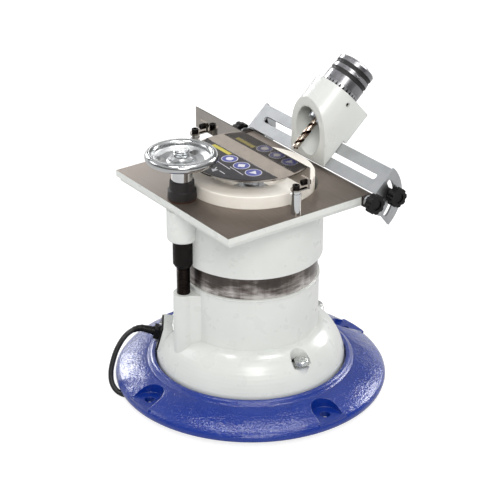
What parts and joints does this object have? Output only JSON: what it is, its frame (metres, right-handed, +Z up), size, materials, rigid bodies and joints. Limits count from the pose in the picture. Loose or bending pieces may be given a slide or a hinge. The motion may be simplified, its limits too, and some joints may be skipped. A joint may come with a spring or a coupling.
{
  "type": "planer knife grinder",
  "caption": "Bench grinder with a vertical ring wheel in a height-adjustable table, a guard and a tilting rail that carries an indexing drill holder, on a round base.",
  "frame": {"origin": "on the floor plane, under the middle of the wheel spindle", "axes": "+Z up along the spindle; +X along the table's front edge, to the right seen from the handwheel; +Y from the handwheel to the drill holder"},
  "size_m": [0.4049, 0.4031, 0.3896],
  "materials": {
    "blue_paint": "thick glossy enamel with orange peel",
    "white_paint": "glossy grey-white enamel",
    "black_paint": "satin black",
    "cast_iron": "machined top, painted edges",
    "black_steel": "black oxide",
    "steel": "turned and ground",
    "chrome": "polished",
    "stainless": "polished sheet",
    "aluminium": "satin",
    "rubber": "moulded",
    "cord_sheath": "smooth flexible sheath",
    "black_plastic": "moulded, slight sheen",
    "red_plastic": "moulded",
    "abrasive": "vitrified white abrasive, fine grain",
    "copper": "enamelled wire",
    "bronze": "bronze-coloured",
    "label": "printed film with plain shapes"
  },
  "bodies": {
    "base": {"base_ring": "blue_paint", "rubber_feet": "rubber", "foot_screws": "steel", "body_casting": "white_paint", "body_bolts": "steel", "bolt_washers": "steel", "bottom_cover": "steel", "lower_bearing_plate": "aluminium", "lower_bearing": "steel", "upper_bearing_plate": "aluminium", "upper_bearing": "steel", "stator_core": "cast_iron", "stator_windings": "copper", "run_capacitor": "aluminium", "cable_plate": "black_plastic", "cable_plate_screws": "steel", "cable_gland": "black_plastic", "power_cord": "cord_sheath", "cord_coil": "cord_sheath", "power_plug": "cord_sheath", "switch_box": "black_plastic", "elevating_screw": "black_steel"},
    "wheel": {"spindle": "steel", "rotor": "cast_iron", "cooling_fan": "black_plastic", "wheel_flange": "steel", "grinding_wheel": "abrasive", "clamp_washer": "steel", "spindle_nut": "steel"},
    "table": {"table_casting": "cast_iron", "thrust_washer": "bronze", "rubber_boot": "rubber", "guard": "stainless", "guard_label": "label", "guard_posts": "chrome", "guard_clips": "stainless", "guard_screws": "black_steel", "right_arm": "black_paint", "left_arm": "black_paint", "arm_screws": "black_steel"},
    "handwheel": {"screw_nut": "black_steel", "handwheel_shaft": "chrome", "handwheel": "chrome"},
    "rail": {"tilt_rail": "aluminium"},
    "right_pivot": {"right_pivot_knob": "black_plastic"},
    "right_lock": {"right_lock_knob": "black_plastic"},
    "left_pivot": {"left_pivot_knob": "black_plastic"},
    "left_lock": {"left_lock_knob": "black_plastic"},
    "holder": {"drill_holder": "white_paint", "holder_screw": "black_steel"},
    "holder_clamp": {"holder_clamp_knob": "black_plastic"},
    "index": {"index_ring": "steel"},
    "chuck": {"chuck_core": "steel", "chuck_cap": "steel", "drill_bit": "bronze"},
    "first_jaw": {"jaw_1": "steel"},
    "second_jaw": {"jaw_2": "steel"},
    "third_jaw": {"jaw_3": "steel"},
    "sleeve": {"chuck_sleeve": "chrome"},
    "rocker": {"switch_rocker": "red_plastic"}
  },
  "joints": [
    {"name": "wheel_spin", "type": "hinge", "parent": "base", "child": "wheel", "pos_m": [0, 0, 0.2], "axis": [0, 0, 1], "continuous": true},
    {"name": "table_lift", "type": "slide", "parent": "base", "child": "table", "axis": [0, 0, 1], "range_m": [-0.005, 0.008]},
    {"name": "handwheel_turn", "type": "hinge", "parent": "table", "child": "handwheel", "pos_m": [-0.0085, -0.0924, 0.3], "axis": [0, 0, 1], "range_deg": [-900, 1440]},
    {"name": "rail_tilt", "type": "hinge", "parent": "table", "child": "rail", "pos_m": [-0.0045, 0.0828, 0.2627], "axis": [1, 0, 0], "range_deg": [-22, 10]},
    {"name": "holder_slide", "type": "slide", "parent": "rail", "child": "holder", "axis": [1, 0, 0], "range_m": [-0.086, 0.09]},
    {"name": "holder_clamp_turn", "type": "hinge", "parent": "holder", "child": "holder_clamp", "pos_m": [-0.007, 0.10562, 0.28022], "axis": [0, -0.6652, 0.7466], "range_deg": [-180, 0]},
    {"name": "chuck_feed", "type": "slide", "parent": "holder", "child": "index", "axis": [0, 0.7466, 0.6652], "range_m": [0, 0.015]},
    {"name": "chuck_index", "type": "hinge", "parent": "index", "child": "chuck", "pos_m": [-0.007, 0.10851, 0.32404], "axis": [0, 0.7466, 0.6652], "continuous": true},
    {"name": "sleeve_turn", "type": "hinge", "parent": "chuck", "child": "sleeve", "pos_m": [-0.007, 0.10851, 0.32404], "axis": [0, 0.7466, 0.6652], "range_deg": [0, 360]},
    {"name": "first_jaw_slide", "type": "slide", "parent": "chuck", "child": "first_jaw", "axis": [1, 0, 0], "range_m": [0, 0.002]},
    {"name": "second_jaw_slide", "type": "slide", "parent": "chuck", "child": "second_jaw", "axis": [-0.5, 0.5761, -0.6466], "range_m": [0, 0.002]},
    {"name": "third_jaw_slide", "type": "slide", "parent": "chuck", "child": "third_jaw", "axis": [-0.5, -0.5761, 0.6466], "range_m": [0, 0.002]},
    {"name": "right_pivot_turn", "type": "hinge", "parent": "table", "child": "right_pivot", "pos_m": [0.1198, 0.0828, 0.2627], "axis": [1, 0, 0], "range_deg": [0, 180]},
    {"name": "right_lock_turn", "type": "hinge", "parent": "table", "child": "right_lock", "pos_m": [0.1198, 0.1158, 0.2627], "axis": [1, 0, 0], "range_deg": [0, 180]},
    {"name": "left_pivot_turn", "type": "hinge", "parent": "table", "child": "left_pivot", "pos_m": [-0.1288, 0.0828, 0.2627], "axis": [-1, 0, 0], "range_deg": [0, 180]},
    {"name": "left_lock_turn", "type": "hinge", "parent": "table", "child": "left_lock", "pos_m": [-0.1288, 0.1158, 0.2627], "axis": [-1, 0, 0], "range_deg": [0, 180]},
    {"name": "rocker_press", "type": "hinge", "parent": "base", "child": "rocker", "pos_m": [-0.0495, 0.07069, 0.1169], "axis": [-0.8192, -0.5736, 0], "range_deg": [0, 18]}
  ],
  "couplings": [
    {"joint": "handwheel_turn", "follows": "table_lift", "rad_per_m": 3141.6},
    {"joint": "first_jaw_slide", "follows": "sleeve_turn", "m_per_rad": 0.0003183},
    {"joint": "second_jaw_slide", "follows": "sleeve_turn", "m_per_rad": 0.0003183},
    {"joint": "third_jaw_slide", "follows": "sleeve_turn", "m_per_rad": 0.0003183}
  ]
}
